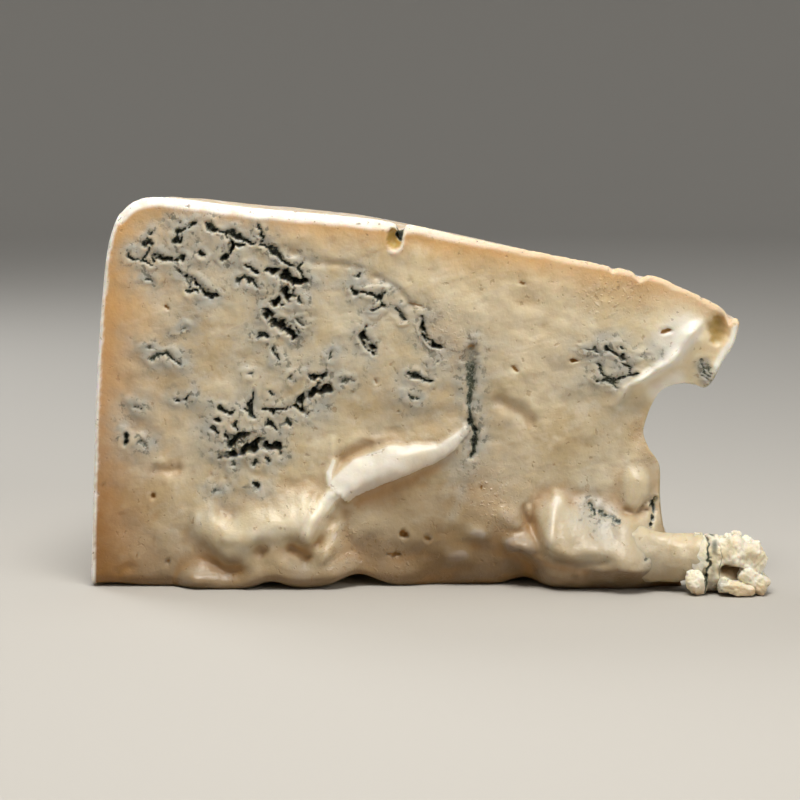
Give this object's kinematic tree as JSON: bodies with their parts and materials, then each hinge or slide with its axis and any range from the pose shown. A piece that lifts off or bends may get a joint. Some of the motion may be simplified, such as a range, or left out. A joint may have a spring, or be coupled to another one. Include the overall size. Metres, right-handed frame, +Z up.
{
  "type": "blue cheese wedge",
  "caption": "Wedge of soft blue cheese standing on its cut base, with rind on the rim and top, a torn tip and cream run out at the foot.",
  "frame": {"origin": "centre of the bounding box on the plane of the base", "axes": "+X along the front cut from the rind to the torn tip, +Y from the front cut towards the back cut, +Z up"},
  "size_m": [0.1518, 0.1193, 0.0871],
  "materials": {
    "paste": "soft moist blue cheese paste with grey-green mould pockets"
  },
  "bodies": {
    "root": {"wedge": "paste"}
  },
  "joints": []
}
